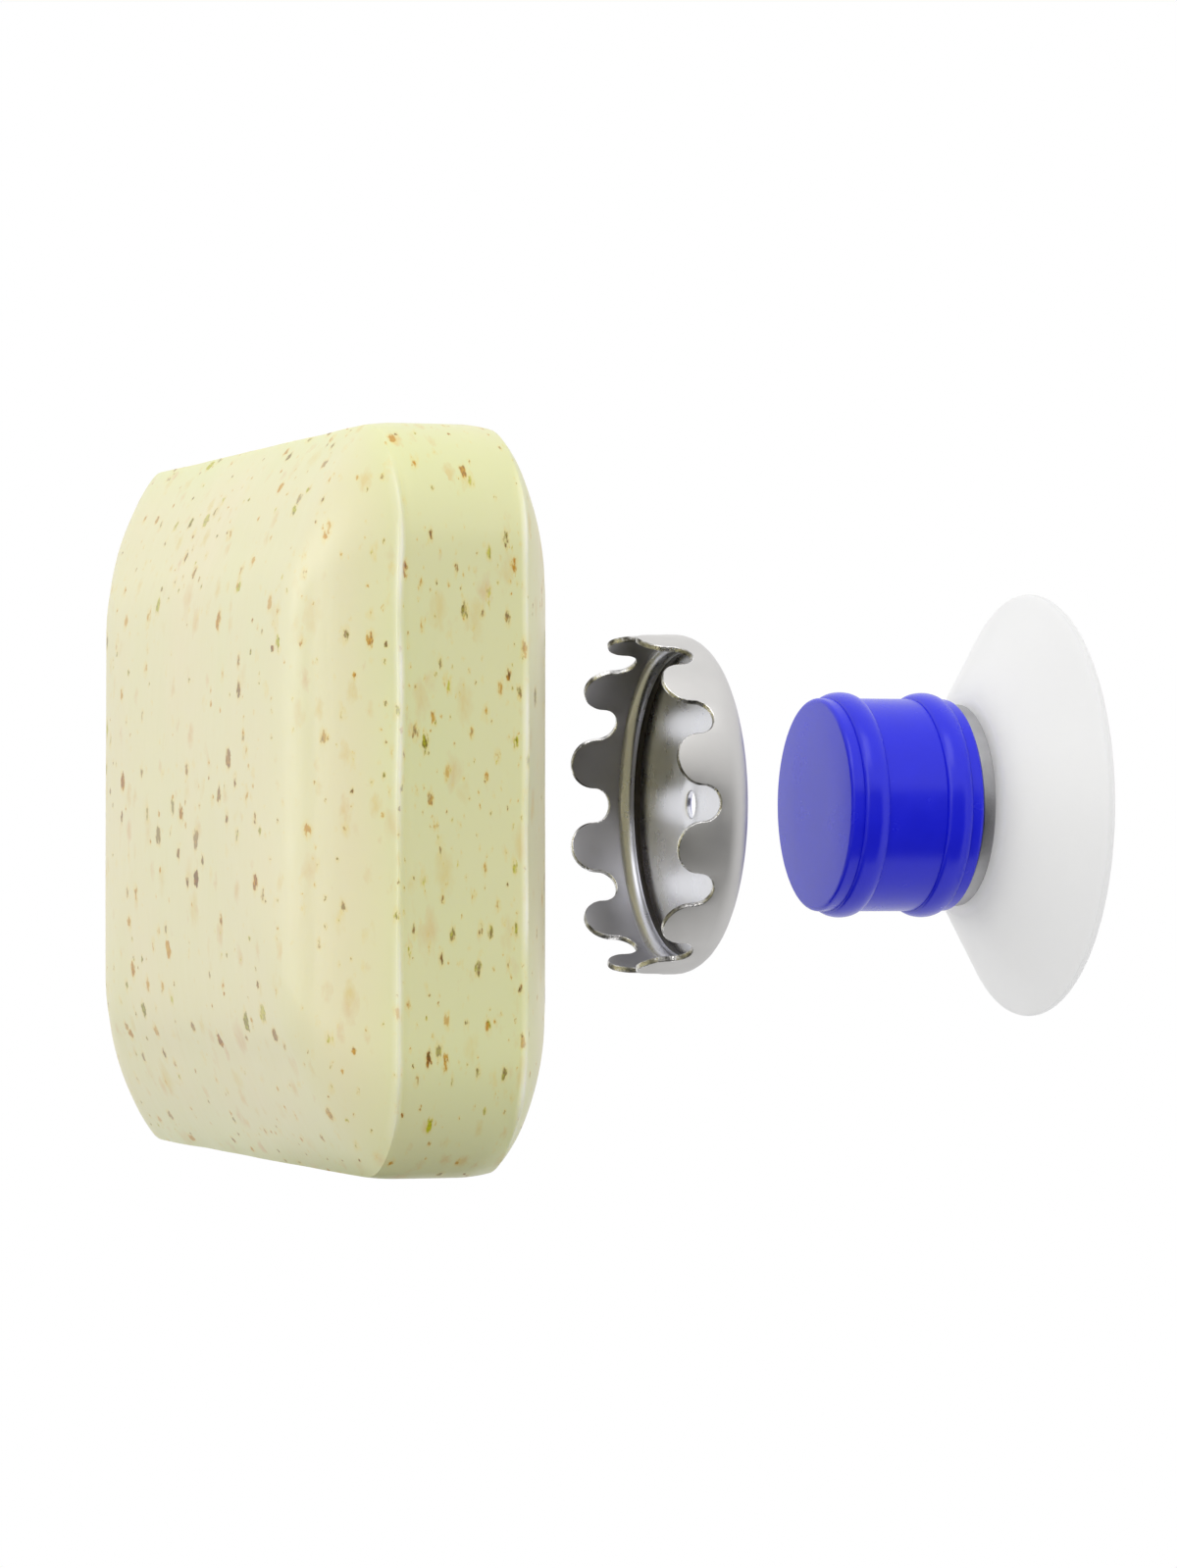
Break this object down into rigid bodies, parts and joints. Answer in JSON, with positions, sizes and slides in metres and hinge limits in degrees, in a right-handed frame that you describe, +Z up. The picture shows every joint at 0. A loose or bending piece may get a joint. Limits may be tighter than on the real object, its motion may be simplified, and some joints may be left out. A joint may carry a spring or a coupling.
{
  "type": "magnetic soap holder",
  "caption": "Magnetic holder for a bar of soap, shown apart: speckled bar, toothed steel cap, ribbed sleeve over a magnet, and a suction cup that sticks to a wall.",
  "frame": {"origin": "centre of the suction cup's lip, on the wall plane", "axes": "+Y along the common axis of the pieces into the wall, +Z up, +X along the longer side of the soap bar"},
  "size_m": [0.086, 0.0791, 0.0616],
  "materials": {
    "soap": "waxy, speckled with brown and olive flecks",
    "cap_steel": "satin stainless",
    "sleeve_rubber": "satin",
    "barrel_steel": "satin",
    "magnet_plating": "nickel plated",
    "pin_steel": "satin",
    "cup_vinyl": "clear, slightly frosted"
  },
  "bodies": {
    "suction": {"suction_cup": "cup_vinyl"},
    "neck": {"neck_pin": "pin_steel"},
    "holder": {"protector_sleeve": "sleeve_rubber", "magnet_barrel": "barrel_steel", "magnet_disc": "magnet_plating"},
    "cap": {"steel_cap": "cap_steel"},
    "soap": {"soap_bar": "soap"}
  },
  "joints": [
    {"name": "cup_press", "type": "slide", "parent": "suction", "child": "neck", "axis": [0, 1, 0], "range_m": [0, 0.0028], "stiffness_N_per_m": 2000, "deforming": ["suction_cup"]},
    {"name": "holder_turn", "type": "hinge", "parent": "neck", "child": "holder", "pos_m": [0, -0.0133, 0], "axis": [0, 1, 0], "continuous": true},
    {"name": "cap_seat", "type": "slide", "parent": "holder", "child": "cap", "axis": [0, 1, 0], "range_m": [0, 0.01085]},
    {"name": "soap_press", "type": "slide", "parent": "cap", "child": "soap", "axis": [0, 1, 0], "range_m": [0, 0.01985]}
  ]
}
